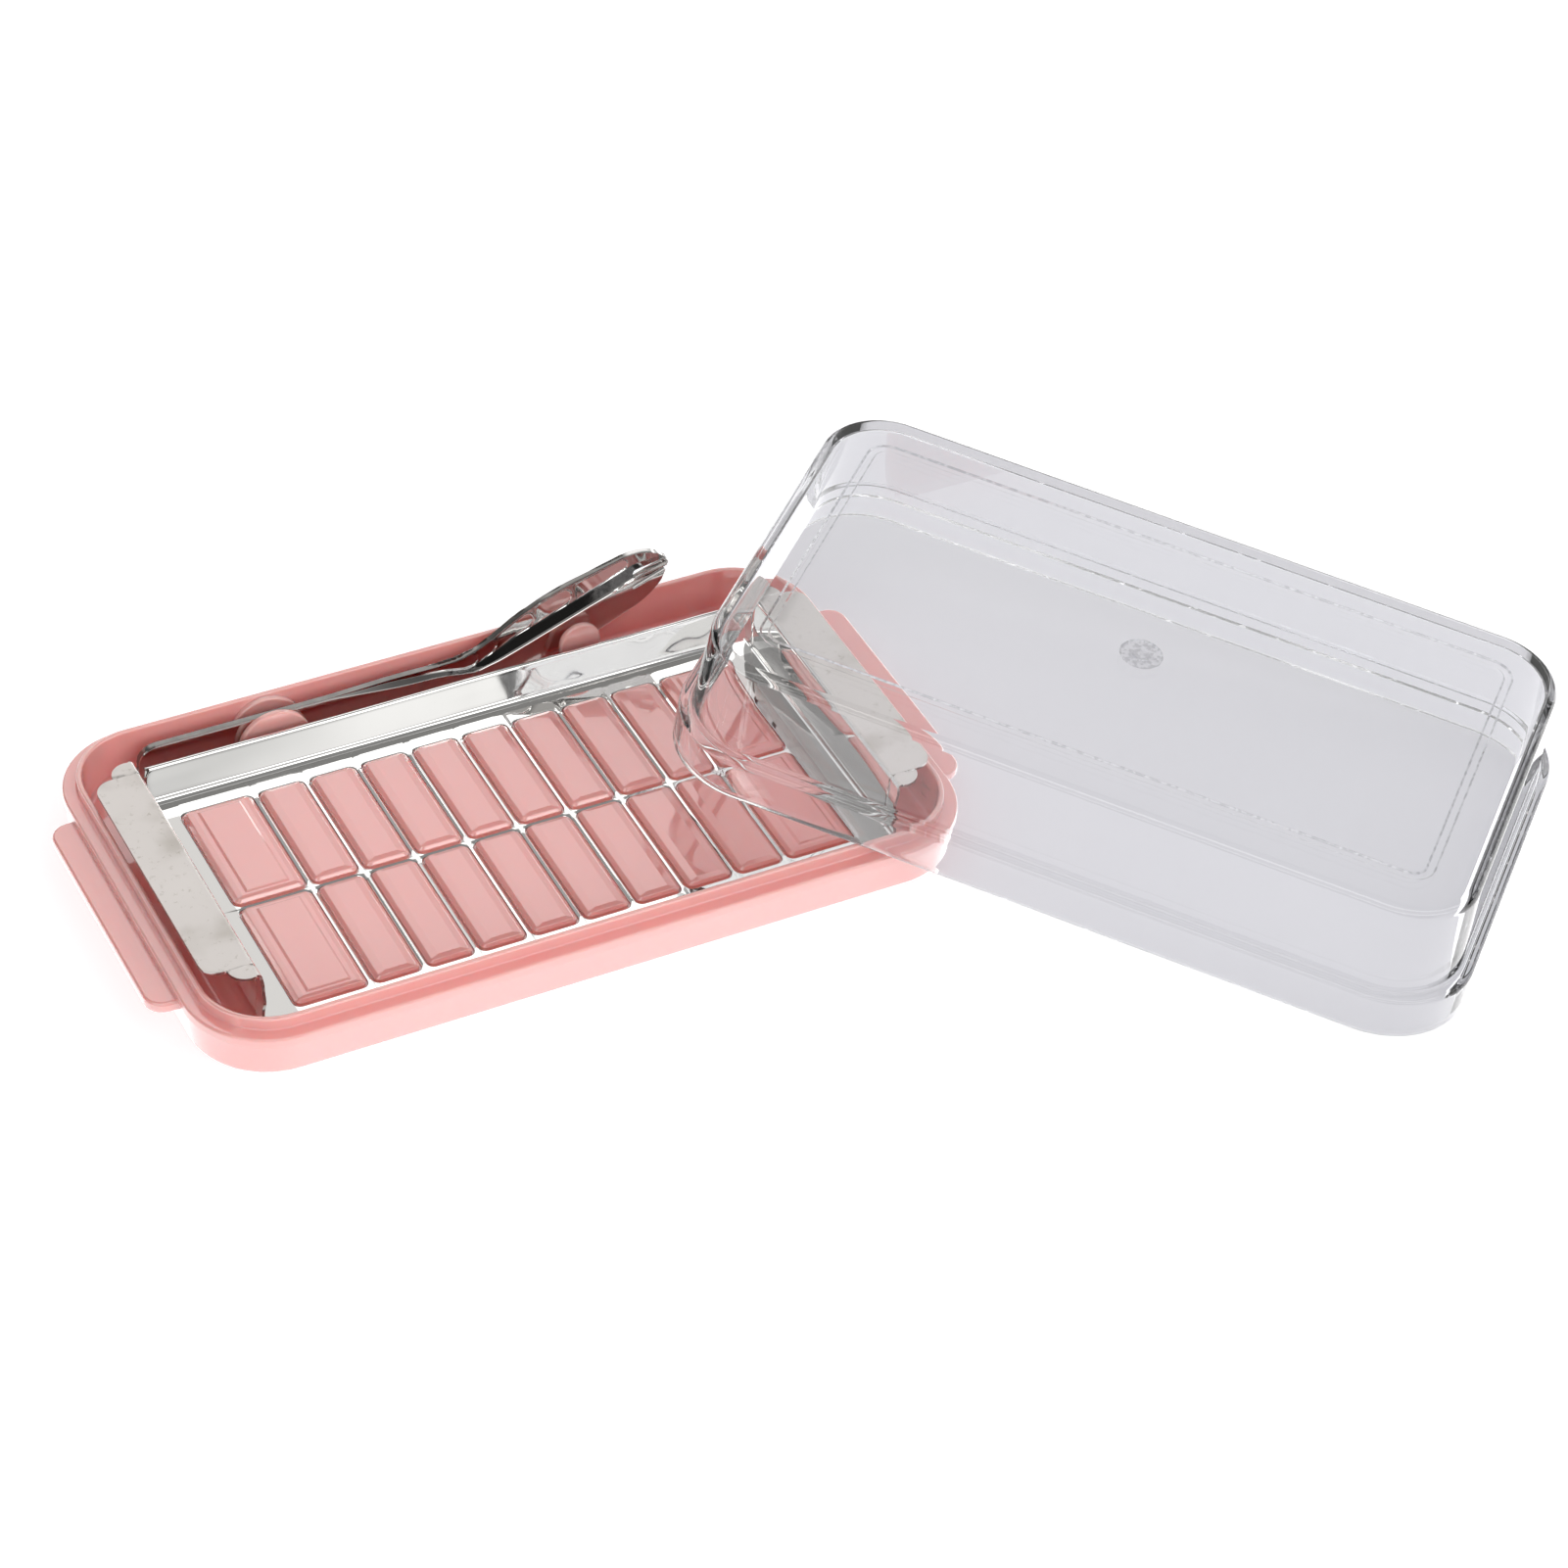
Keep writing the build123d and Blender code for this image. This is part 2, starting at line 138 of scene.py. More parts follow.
class Signal:
    """A shader socket that takes part in sums: each operator adds one Math node to its material."""

    def __init__(self, tree, socket=None):
        self.tree = tree
        self.socket = socket

    def node(self, kind, settings=None, out=0, **values):
        """Any other node: its type, its settings, then the values or links of its sockets, by name or, as s0
        and s1, by place. Gives the output at place out."""
        made = self.tree.nodes.new("ShaderNode" + kind)
        for key, value in (settings or {}).items():
            setattr(made, key, value)
        for key, value in values.items():
            counted = key[0] == "s" and key[1:].isdigit()
            target = made.inputs[int(key[1:]) if counted else key.replace("_", " ")]
            if isinstance(value, Signal):
                self.tree.links.new(value.socket, target)
            else:
                target.default_value = value
        return Signal(self.tree, made.outputs[out])

    def maths(self, operation, first, second=0.0):
        """One Math node of two numbers."""
        return self.node("Math", {"operation": operation}, s0=first, s1=second)

    def __add__(self, other):
        return self.maths("ADD", self, other)

    def __radd__(self, other):
        return self.maths("ADD", other, self)

    def __sub__(self, other):
        return self.maths("SUBTRACT", self, other)

    def __rsub__(self, other):
        return self.maths("SUBTRACT", other, self)

    def __mul__(self, other):
        return self.maths("MULTIPLY", self, other)

    def __rmul__(self, other):
        return self.maths("MULTIPLY", other, self)

    def band(self, low, high):
        """0 below low and 1 above high, with a smooth rise between them."""
        settings = {"interpolation_type": "SMOOTHSTEP"}
        return self.node("MapRange", settings, Value=self, From_Min=low, From_Max=high)

    def mixed(self, first, second):
        """The first colour where this is 0 and the second where it is 1."""
        return self.node("Mix", {"data_type": "RGBA"}, out=2, s0=self, s6=first, s7=second)

    def noise(self, scale, detail, **more):
        """Cloudy noise from 0 to 1 at this place, with scale clouds to the metre."""
        return self.node("TexNoise", Vector=self, Scale=scale, Detail=detail, **more)


def finish_of(name, slot, **constants):
    """A new material for a slot of the record, whose constants go on the Principled shader's own sockets.
    Gives the material, its nodes and the shader."""
    material = bpy.data.materials.new(name)
    material.use_nodes = True
    material["slot"] = slot
    nodes = Signal(material.node_tree)
    shader = material.node_tree.nodes["Principled BSDF"]
    for key, value in constants.items():
        shader.inputs[key.replace("_", " ")].default_value = value
    return material, nodes, shader


def linked(shader, **sockets):
    """Links each varying value to the shader's socket of that name."""
    for key, value in sockets.items():
        value.tree.links.new(value.socket, shader.inputs[key.replace("_", " ")])


def dress(made, *materials):
    """Puts materials on a piece."""
    for material in materials:
        made.data.materials.append(material)


tray_profile = softened([
    (-FLAT_IN, 0, 0), (-FOOT_IN, 0, 0.9), (-BAND_STEP, SKIRT_TOP, 0.12), (0, SKIRT_TOP, 0.15),
    (0, LEDGE_TOP, 0.6), (-LEDGE_WIDTH, LEDGE_TOP, 0.35), (-LEDGE_WIDTH, TRAY_LIP, 0.45),
    (-LEDGE_WIDTH - LIP_WIDTH, TRAY_LIP, 0.45), (-FLOOR_IN, TRAY_FLOOR, 1.5), (-FLAT_IN, TRAY_FLOOR, 0),
])
tray_rings = rings(tray_profile, TRAY_X, TRAY_Y, TRAY_CORNER)
tray_shell = piece("tray_shell", "tray", [woven(tray_rings, around=True, capped=True)])

PINK, PALE_PINK = (0.915, 0.405, 0.382, 1), (0.935, 0.43, 0.407, 1)
pink, nodes, shader = finish_of(
    "pink moulded plastic", "pink_plastic", IOR=1.49, Subsurface_Weight=0.6, Subsurface_Scale=0.006,
    Subsurface_Radius=(1.0, 0.25, 0.16), Coat_Weight=1.0, Coat_IOR=1.9, Coat_Roughness=0.04,
)
where = nodes.node("TexCoord", out=3)
cloud = where.noise(45.0, 3.0)
grain = where.noise(900.0, 2.0)
linked(
    shader,
    Base_Color=cloud.mixed(PINK, PALE_PINK),
    Roughness=0.1 + 0.08 * cloud + 0.03 * grain,
    Normal=nodes.node("Bump", Strength=0.03, Distance=0.0002, Height=grain),
)
dress(tray_shell, pink)
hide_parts("tray")

# ---- grip tabs: a flat rounded tongue at each end of the tray, moulded on and blended into the skirt.
# A finger under it lifts the tray, and the lid's end clears its top.
TAB_END_X, TAB_Y, TAB_TOP, TAB_THICK, TAB_EDGE = 90.4, 29.1, 8.2, 2.6, 0.8
BURIED_X, ROOT_X, BURIED_WIDER, ROOT_WIDER, TAB_ROOT, TAB_CORNER = 80.5, 83.4, 4.9, 2.0, 1.9, 4.0


def slab(outline, thickness, edge, steps=5):
    """A flat plate with rounded edges: its outline is moved in by edge times one less the cosine of the
    turn, and up or down by the sine, for both rims. It runs anticlockwise in the plate's own x and y."""
    ahead = np.roll(outline, -1, 0) - outline
    ahead /= np.maximum(np.hypot(ahead[:, 0], ahead[:, 1]), 1e-9)[:, None]
    along = ahead + np.roll(ahead, 1, 0)
    along /= np.maximum(np.hypot(along[:, 0], along[:, 1]), 1e-9)[:, None]
    outward = np.stack([along[:, 1], -along[:, 0]], -1)
    turn = np.linspace(pi / 2, 0, steps + 1)
    inset = np.concatenate([edge * (1 - np.cos(turn)), edge * (1 - np.cos(turn[::-1]))])
    height = np.concatenate([edge * (1 - np.sin(turn)), thickness - edge * (1 - np.sin(turn[::-1]))])
    flat = outline[None] - outward[None] * inset[:, None, None]
    grid = np.concatenate([flat, np.broadcast_to(height[:, None, None], flat.shape[:2] + (1,))], -1)
    return woven(grid, around=True, capped=True)


half_tab = softened([
    (BURIED_X, TAB_Y + BURIED_WIDER, 0), (BURIED_X, TAB_Y + ROOT_WIDER, 0), (ROOT_X, TAB_Y + ROOT_WIDER, 0),
    (ROOT_X, TAB_Y, TAB_ROOT), (TAB_END_X, TAB_Y, TAB_CORNER), (TAB_END_X, 0, 0),
])[:-1]
tab_outline = np.concatenate([half_tab * [1, -1], half_tab[::-1]])
points, faces = slab(tab_outline, TAB_THICK, TAB_EDGE)
points[:, 2] += TAB_TOP - TAB_THICK
dress(piece("grip_tabs", "tray", [(points, faces), (points * [-1, -1, 1], faces)]), pink)

# ---- pads: twenty raised blocks of the same moulding stand up through the cutter's windows.
# Each has sloped sides, and the four end pads carry a second, lower step.
COLUMNS, PITCH, GRID_Y, ROW_Y, END_X = 8, 11.5, -3.7, 15.9, 54.5
SHEET_TOP, PAD_FOOT, PAD_SIDE, PAD_TOP, PAD_STEP = 3.1, 2.4, 3.25, 4.15, 0.3
PAD_X, END_PAD_X, PAD_Y, PAD_CORNER, SLOPE_WIDER = 4.87, 7.6, 15.0, 1.3, 1.6


def copies(part, places):
    """The same points and faces at each of the places."""
    points, faces = part
    return [(points + place, faces) for place in places]


pad_profile = softened([
    (0, PAD_FOOT, 0), (0, PAD_SIDE, 0.25), (-0.5, PAD_TOP - 0.3, 0.5), (-1.5, PAD_TOP, 0.5),
    (-2.4, PAD_TOP, 0),
], 5)
end_profile = softened([
    (0, PAD_FOOT, 0), (0, PAD_SIDE, 0.25), (-0.5, PAD_TOP - 0.25, 0.5), (-1.2, PAD_TOP, 0.25),
    (-1.75, PAD_TOP, 0.12), (-2.1, PAD_TOP + PAD_STEP, 0.2), (-3.6, PAD_TOP + PAD_STEP, 0),
], 5)
column_x = (np.arange(COLUMNS) - (COLUMNS - 1) / 2) * PITCH
pad_places = [(x, GRID_Y + side * ROW_Y, 0) for side in (-1, 1) for x in column_x]
end_places = [(x, GRID_Y + side * ROW_Y, 0) for side in (-1, 1) for x in (-END_X, END_X)]
pad_rings = rings(pad_profile, PAD_X, PAD_Y, PAD_CORNER, 6, SLOPE_WIDER)
end_rings = rings(end_profile, END_PAD_X, PAD_Y, PAD_CORNER, 6, SLOPE_WIDER)
pads = copies(woven(pad_rings, around=True, capped=True), pad_places)
end_pads = copies(woven(end_rings, around=True, capped=True), end_places)
dress(piece("butter_pads", "tray", pads + end_pads), pink)

# ---- knife clips: two pairs of round-topped discs, moulded on the floor behind the cutter.
# The knife stands on edge in the slot between the front and the back disc of each pair.

# x, top and radius of each pair, then y and thickness of the front and of the back disc
HANDLE_CLIP, TIP_CLIP = (-36.4, 12.6, 8.1), (33.7, 13.6, 4.7)
FRONT_DISC, BACK_DISC = (39.0, 1.4), (44.2, 1.6)
BACK_DISC_TOP, DISC_FOOT, DISC_EDGE = 12.45, 2.0, 0.45


def disc_outline(x, top, radius, steps=28):
    """A half circle about (x, top - radius) on two straight sides down into the floor, anticlockwise."""
    turn = np.linspace(0, pi, steps + 1)
    arc = np.stack([x + radius * np.cos(turn), top - radius + radius * np.sin(turn)], -1)
    return np.concatenate([arc, [(x - radius, DISC_FOOT), (x + radius, DISC_FOOT)]])


clips = []
for x, top, radius in (HANDLE_CLIP, TIP_CLIP):
    for disc_top, (front_y, thick) in ((top, FRONT_DISC), (min(top, BACK_DISC_TOP), BACK_DISC)):
        points, faces = slab(disc_outline(x, disc_top, radius), thick, DISC_EDGE)
        clips.append((np.stack([points[:, 0], front_y + thick - points[:, 2], points[:, 1]], -1), faces))
dress(piece("knife_clips", "tray", clips), pink)

# ---- cutter grid: the flat of one stamping of mirror-polished stainless sheet, 0.6 mm thick.
# Twenty windows with rounded corners leave bars 1 mm wide, each twisted a little by the press.
SHEET, CUT_EDGE = 0.6, 0.18
WINDOW_X, END_WINDOW_X, WINDOW_Y, WINDOW_CORNER = 5.25, 8.0, 15.4, 1.6
GRID_FRONT, GRID_BACK, GRID_END = -39.8, 31.7, 69.3
HALF_BAR, NEAR_RING, RING_DIPS, NEAR_TWIST = 0.5, 0.3, (0.23, 0.095, 0.0), 0.4
BAR_TWISTS = (0.1, -0.26, 0.04, 0.22, -0.05, -0.24, 0.06, 0.24, -0.1)


def framed_window(x, y, half_x, left, right, front, back, twist, steps=4):
    """Between a rounded window and the rectangle round it: ring 0 is the window, ring 1 lies a little out
    and ring 2 is the rectangle. Height is the sheet's top less the ring's dip, which crowns the bars, plus,
    on a bar beside the window, its twist times the distance from the bar's middle."""
    two_rings = np.array([(0, 0), (NEAR_RING, 0)])
    inner, near = rings(two_rings, half_x, WINDOW_Y, WINDOW_CORNER, steps)[..., :2] + (x, y)
    out_x = np.where(inner[:, 0] > x, right, left)
    out_y = np.where(inner[:, 1] > y, back, front)
    share = np.linspace(0, 1, steps + 1)
    round_corner = np.concatenate([share, share[::-1], share, share[::-1]])
    far_x = np.where(round_corner <= 0.5, out_x, inner[:, 0])
    far_y = np.where(round_corner >= 0.5, out_y, inner[:, 1])
    grid = np.stack([inner, near, np.stack([far_x, far_y], -1)])
    slope = np.where(grid[..., 0] > x, twist[1], twist[0])
    bar = np.where(grid[..., 0] > x, right, left)
    lift = slope * np.clip(grid[..., 0] - bar, -HALF_BAR, HALF_BAR)
    lift[1] *= NEAR_TWIST
    on_bar = np.abs(np.abs(grid[..., 0] - x) - half_x) < HALF_BAR + NEAR_RING
    height = SHEET_TOP + np.where(on_bar, lift, 0) - np.array(RING_DIPS)[:, None]
    return woven(np.concatenate([grid, height[..., None]], -1), around=True)


def welded(made):
    """Joins points that lie on each other, so that neighbouring parts share their edges."""
    sheet = bmesh.new()
    sheet.from_mesh(made.data)
    bmesh.ops.remove_doubles(sheet, verts=sheet.verts, dist=2e-6)
    bmesh.ops.recalc_face_normals(sheet, faces=sheet.faces)
    sheet.to_mesh(made.data)
    sheet.free()
    return made


def thickened(made, thickness, offset, bevel):
    """Sheet metal: a mesh given its thickness, then its cut edges rounded over. The cut takes the second
    material. The mesh is the sheet's upper face at offset -1, and its middle at offset 0."""
    made.modifiers.remove(made.modifiers["even normals"])
    solid = made.modifiers.new("sheet thickness", "SOLIDIFY")
    solid.thickness = thickness / 1000
    solid.offset = offset
    solid.use_even_offset = False
    solid.material_offset_rim = 1
    edge = made.modifiers.new("rounded cut edges", "BEVEL")
    edge.width = bevel / 1000
    edge.segments = 3
    edge.limit_method = "ANGLE"
    edge.angle_limit = radians(50)
    edge.material = 1
    evened(made)
    return made


bar_x = (np.arange(COLUMNS + 1) - COLUMNS / 2) * PITCH
twists = dict(zip(bar_x, BAR_TWISTS))
borders = [-GRID_END, *bar_x, GRID_END]
windows = []
for front, back, side in ((GRID_FRONT, GRID_Y, -1), (GRID_Y, GRID_BACK, 1)):
    for left, right in zip(borders[:-1], borders[1:]):
        x, half_x = (left + right) / 2, WINDOW_X
        if left == -GRID_END or right == GRID_END:
            x, half_x = np.sign(x) * END_X, END_WINDOW_X
        twist = (twists.get(left, 0) * side, twists.get(right, 0) * side)
        windows.append(framed_window(x, GRID_Y + side * ROW_Y, half_x, left, right, front, back, twist))
cutter_grid = thickened(welded(piece("cutter_grid_sheet", "cutter", windows)), SHEET, -1, CUT_EDGE)

# the strip beyond the end windows is painted greyer: a painted reflection of the shaded inside of the upright
# wall; places in a shader are metres
STEEL, BRIGHT_STEEL, SHADED_STEEL = (0.86, 0.855, 0.84, 1), (0.93, 0.925, 0.91, 1), (0.4, 0.39, 0.38, 1)
steel, nodes, shader = finish_of("mirror stainless sheet", "stainless_sheet", Metallic=1.0)
where = nodes.node("TexCoord", out=3)
smear = where.noise(60.0, 3.0)
wave = where.noise(28.0, 1.0)
at_x = nodes.node("SeparateXYZ", out=0, Vector=where)
at_y = nodes.node("SeparateXYZ", out=1, Vector=where)
# painted reflection: the strip beyond the end windows takes the shaded steel colour
painted_reflection_strip = nodes.maths("ABSOLUTE", at_x).band(0.0621, 0.0626) * (1.0 - at_y.band(0.0272, 0.0275))
linked(
    shader,
    Base_Color=(0.9 * painted_reflection_strip).mixed(smear.mixed(STEEL, BRIGHT_STEEL), SHADED_STEEL),
    Roughness=0.03 + 0.05 * smear.band(0.45, 0.75),
    Normal=nodes.node("Bump", Strength=0.25, Distance=0.0006, Height=wave),
)


def bare_edge(name, scale, dark, pale, roughness):
    """Steel at a cut edge of the cutter: one fine noise mottles its colour, its gloss and its surface."""
    edge, nodes, shader = finish_of(name, "stainless_sheet", Metallic=1.0)
    burr = nodes.node("TexCoord", out=3).noise(scale, 2.0)
    linked(
        shader,
        Base_Color=burr.band(0.3, 0.7).mixed(dark, pale),
        Roughness=roughness + 0.1 * burr,
        Normal=nodes.node("Bump", Strength=0.2, Distance=0.0001, Height=burr),
    )
    return edge


# the cut edges are darker than the faces: partly their own duller sheared finish, partly painted shade for
# the dark lines beside the bars
SHEARED_AND_SHADED, PALE_SHEARED_AND_SHADED = (0.15, 0.14, 0.13, 1), (0.32, 0.31, 0.295, 1)
sheared_and_shaded = bare_edge("sheared steel edge", 500.0, SHEARED_AND_SHADED, PALE_SHEARED_AND_SHADED, 0.14)
dress(cutter_grid, steel, sheared_and_shaded)
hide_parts("cutter_grid")

# ---- cutter back wall: the same stamping turned up behind the grid in a gentle radius.
# Its top edge is folded back and down as a hem, so that no sharp edge is left.
BACK_X, BACK_BEND, BACK_LEAN, BACK_RISE, HEM_FOLD, HEM_RISE = 66.5, 2.3, 28.0, 5.6, 0.45, 1.4
WALL_EDGE = 0.1
SHEET_MID = TRAY_FLOOR + SHEET / 2


def arc(centre, radius, first, last, steps=10):
    """Points about the centre from one angle to another, in degrees."""
    turn = np.radians(np.linspace(first, last, steps + 1))
    return np.stack([centre[0] + radius * np.cos(turn), centre[1] + radius * np.sin(turn)], -1)


# the wall is a path carried along x: the bend, the leaning face, the fold and the hem
wall_up = np.array([sin(radians(BACK_LEAN)), cos(radians(BACK_LEAN))])
wall_back = np.array([wall_up[1], -wall_up[0]])
bend = arc((GRID_BACK, SHEET_MID + BACK_BEND), BACK_BEND, -90, -BACK_LEAN)
face = bend[-1] + wall_up * np.linspace(0, BACK_RISE, 9)[1:-1, None]
fold_centre = bend[-1] + wall_up * BACK_RISE + wall_back * HEM_FOLD
fold = fold_centre + arc((0, 0), HEM_FOLD, 180 - BACK_LEAN, -BACK_LEAN, 8)
wall_path = np.concatenate([bend, face, fold, fold[-1:] - wall_up * HEM_RISE])

# each row is shorter by the cut at its ends, which rounds the top corners, and the face swells: a long wave
# from end to end, and to the right a short one behind each column of windows, both growing with height
SWELL, COLUMN_SWELL = 0.11, 0.05
corner_cut = np.array([0] * (len(bend) + 4) + [0.1, 0.3, 0.8] + [1.1] * 3 + [0.4] * (len(fold) - 3) + [0])
wall_x = (BACK_X - corner_cut[:, None]) * np.linspace(-1, 1, 150)
wall_z = wall_path[:, 1:]
by_column = COLUMN_SWELL * np.sin(wall_x * 2 * pi / PITCH) * np.clip(wall_x / 30, 0, 1)
swell = (SWELL * np.sin(wall_x * 0.085 + 0.6) + by_column) * np.clip((wall_z - 3.4) / 4.0, 0, 1)
wall_grid = surface(wall_x, wall_path[:, :1] + swell, wall_z)
back_wall = piece("cutter_back_wall_sheet", "cutter", [woven(wall_grid)], crease=60)
dress(thickened(welded(back_wall), SHEET, 0, WALL_EDGE), steel, sheared_and_shaded)
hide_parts("cutter_back_wall")

# ---- cutter wings: the two ends turned up, then out at the top into grips that are pressed down by hand.
# Each grip's ends are cut in two scallops, and its top is scuffed dull by handling.
SIDE_MID, SIDE_BEND, SIDE_TOP, WING_MID, WING_Y = 70.2, 0.9, 15.3, 16.2, -2.3
FOLD_HALF, EDGE_HALF, WING_REACH, NOTCH_X, NOTCH_Y, BULGE = 34.6, 26.6, 10.2, 5.7, 4.2, 1.1
WING_EDGE, RIPPLE, BOW = 0.12, 0.22, 0.4


def scallop(first, last, steps=12):
    """The arc from first to last over a point off their middle, by the bulge outwards along x and forwards
    along y: its centre is as far from all three."""
    first, last = np.array(first), np.array(last)
    over = (first + last) / 2 + (BULGE, -BULGE)
    sides = np.array([over - first, last - first])
    centre = np.linalg.solve(2 * sides, [over @ over - first @ first, last @ last - first @ first])
    start, end = first - centre, last - centre
    from_angle, to_angle = np.arctan2(start[1], start[0]), np.arctan2(end[1], end[0])
    turn = (to_angle - from_angle + pi) % (2 * pi) - pi
    angle = from_angle + turn * np.linspace(0, 1, steps + 1)
    return centre + np.hypot(*start) * np.stack([np.cos(angle), np.sin(angle)], -1)


# the grip's rim from front to back: two scallops, the straight edge and the same two scallops again
root_x, notch_x, edge_x = SIDE_MID + SIDE_BEND, SIDE_MID + NOTCH_X, SIDE_MID + WING_REACH
fold_y, edge_y = WING_Y - FOLD_HALF, WING_Y - EDGE_HALF
notch = (notch_x, edge_y - NOTCH_Y)
front_end = np.concatenate([scallop((root_x, fold_y), notch), scallop(notch, (edge_x, edge_y))[1:]])
straight = np.stack([np.full(24, edge_x), np.linspace(edge_y, 2 * WING_Y - edge_y, 26)[1:-1]], -1)
rim = np.concatenate([front_end, straight, front_end[::-1] * [1, -1] + [0, 2 * WING_Y]])

# the upright wall carries its path along the rim's rows: it bows inwards by half a sine over its height, more
# in some rows than in others, and its two ends ripple; the grip runs level from the path's end out to the rim
side_path = np.concatenate([
    arc((SIDE_MID - SIDE_BEND, SHEET_MID + SIDE_BEND), SIDE_BEND, -90, 0, 8),
    np.stack([np.full(12, SIDE_MID), np.linspace(SHEET_MID + SIDE_BEND, SIDE_TOP, 14)[1:-1]], -1),
    arc((root_x, SIDE_TOP), SIDE_BEND, 180, 90, 8),
])
side_x, side_z = side_path[:, :1], side_path[:, 1:]
row_y = np.clip(rim[:, 1], fold_y, 2 * WING_Y - fold_y)
ripple = RIPPLE * np.sin(side_z * 1.25) * np.clip((side_z - 3.6) / 2, 0, 1)
ends_only = np.clip((np.abs(row_y - WING_Y) - 31) / 3.5, 0, 1)
uneven = 1 + 0.35 * np.sin(0.14 * row_y + 1)
bow = BOW * np.sin(np.clip((side_z - 3.7) / 11.6, 0, 1) * pi) * uneven
upright = surface(side_x - bow, row_y + ripple * ends_only, side_z)
out = np.linspace(0, 1, 9)[1:, None]
grip = surface(root_x + out * (rim[:, 0] - root_x), row_y + out * (rim[:, 1] - row_y), WING_MID)
wing_grid = np.concatenate([upright, grip])

WORN_STEEL, STAINED_STEEL = (0.75, 0.71, 0.685, 1), (0.46, 0.42, 0.37, 1)
scuffed, nodes, shader = finish_of("scuffed stainless sheet", "stainless_sheet", Metallic=1.0)
where = nodes.node("TexCoord", out=3)
on_top = nodes.node("SeparateXYZ", out=2, Vector=where).band(0.0161, 0.01648)
speck = where.noise(650.0, 4.0, Roughness=0.7)
stain = where.noise(55.0, 3.0)
wave = where.noise(15.0, 0.0)
dull = (0.8 * stain.band(0.5, 0.75) + 0.5 * speck.band(0.58, 0.7)).mixed(WORN_STEEL, STAINED_STEEL)
linked(
    shader,
    Base_Color=on_top.mixed(STEEL, dull),
    Roughness=0.05 + on_top * (0.36 + 0.1 * stain),
    Normal=nodes.node("Bump", Strength=0.1, Distance=0.0004, Height=wave + 0.1 * on_top * speck),
)
# the cut rim of each grip is darker than its faces, a dark outline round the grip
DARK_WING_EDGE, PALE_WING_EDGE = (0.26, 0.245, 0.235, 1), (0.44, 0.425, 0.41, 1)
darkened = bare_edge("rubbed wing edge", 420.0, DARK_WING_EDGE, PALE_WING_EDGE, 0.16)
for hand, side in (("left", -1), ("right", 1)):
    wing = piece(hand + "_wing_sheet", "cutter", [woven(wing_grid * [side, 1, 1])], crease=60)
    dress(thickened(welded(wing), SHEET, 0, WING_EDGE), scuffed, darkened)
    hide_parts("cutter_" + hand + "_wing")

# ---- butter knife: one stamping of 1.3 mm stainless, polished to a mirror, on edge in the clips.
# Its blade is dished above a crease, with a chain of pressed pockets, and the tip has three tines.
KNIFE_Y, KNIFE_SHEET, KNIFE_EDGE = 40.7, 1.3, 0.2
HANDLE_X, HANDLE_TOP, HANDLE_CORNER = -66.0, 11.1, 4.0
NECK_X, FORK_X, TINES_X = 2.0, 46.7, 54.9

# the two slots' left ends, and how they run; the right end and length of each pocket; depths pressed in
LOWER_SLOT, UPPER_SLOT, SLOT_HALF, SLOT_RISE = (47.6, 18.8), (47.4, 21.8), 0.75, tan(radians(21))
SLOT_ROUND_X, SLOT_ROUND = 47.5, 0.85
POCKETS = ((11.0, 13.0), (15.4, 4.6), (24.2, 9.0), (32.9, 9.0), (46.0, 13.4))
BAND_SLOPE, LEDGE_DEEP, POCKET_DEEP, SPINE_LAND, FALL_SLOPE = 0.6, 0.2, 0.26, 0.35, 0.19


def shelf(distance, low, high):
    """0 before low, 1 after high, and a smooth cubic between."""
    share = np.clip((distance - low) / (high - low), 0, 1)
    return share * share * (3 - 2 * share)


stations = np.linspace(-70, 56, 1200)


def faired(points, across):
    """A height at each station that follows the points in straight runs, and then is a weighted mean over
    a number of stations across, so that each bend is eased."""
    points = np.array(points, float)
    height = np.interp(stations, points[:, 0], points[:, 1])
    weight = np.hanning(across) / np.hanning(across).sum()
    return np.convolve(np.pad(height, across // 2, mode="edge"), weight, "valid")


spine = faired([
    (-70, 11.1), (1, 11.0), (5.8, 11.2), (10.8, 12.3), (14.4, 14.0), (17.6, 15.9), (21.2, 17.95),
    (26.0, 20.4), (32.0, 22.6), (36.7, 23.8), (41.3, 25.05), (45.0, 26.1), (48.5, 26.85), (50.7, 26.85),
    (52.6, 26.2), (54.2, 24.9), (56, 22.8),
], 31)
belly = faired([
    (-70, 2.5), (18, 2.5), (36, 6.6), (39.5, 7.9), (43.4, 9.7), (45.7, 10.8), (48.0, 11.9), (50.3, 13.4),
    (52.5, 15.6), (53.8, 17.8), (56, 22.0),
], 21)
crease = faired([
    (-70, 11.3), (-26, 11.0), (-9, 9.1), (-4.9, 8.8), (0.1, 8.7), (3.4, 8.35), (7.1, 7.6), (10.2, 7.3),
    (15.2, 8.5), (20.3, 10.4), (25.3, 12.35), (31.4, 14.75), (35.9, 16.5), (40.5, 18.25), (46.9, 21.0),
    (56, 24.6),
], 21)
from_end = np.maximum(HANDLE_CORNER - (stations - HANDLE_X), 0)
end_drop = HANDLE_CORNER - np.sqrt(np.maximum(HANDLE_CORNER ** 2 - from_end ** 2, 0))
upper = np.where(stations < 0, np.minimum(spine, HANDLE_TOP - end_drop), spine)

# the rows run in five lanes, from the belly up: lower tine, slot, middle tine, slot, upper tine
lane_rows, band_rows = (22, 5, 12, 5, 34), 13
lane = np.concatenate([[0], np.repeat(np.arange(5), lane_rows)])
within = np.concatenate([[0], np.concatenate([np.arange(1, n + 1) / n for n in lane_rows])])
row = np.arange(len(lane))[:, None]
columns = np.concatenate([
    np.linspace(HANDLE_X, HANDLE_X + HANDLE_CORNER, 14)[:-1],
    np.linspace(HANDLE_X + HANDLE_CORNER, NECK_X, 60)[:-1],
    np.linspace(NECK_X, FORK_X, 300),
    np.linspace(FORK_X, TINES_X, 50)[1:],
])

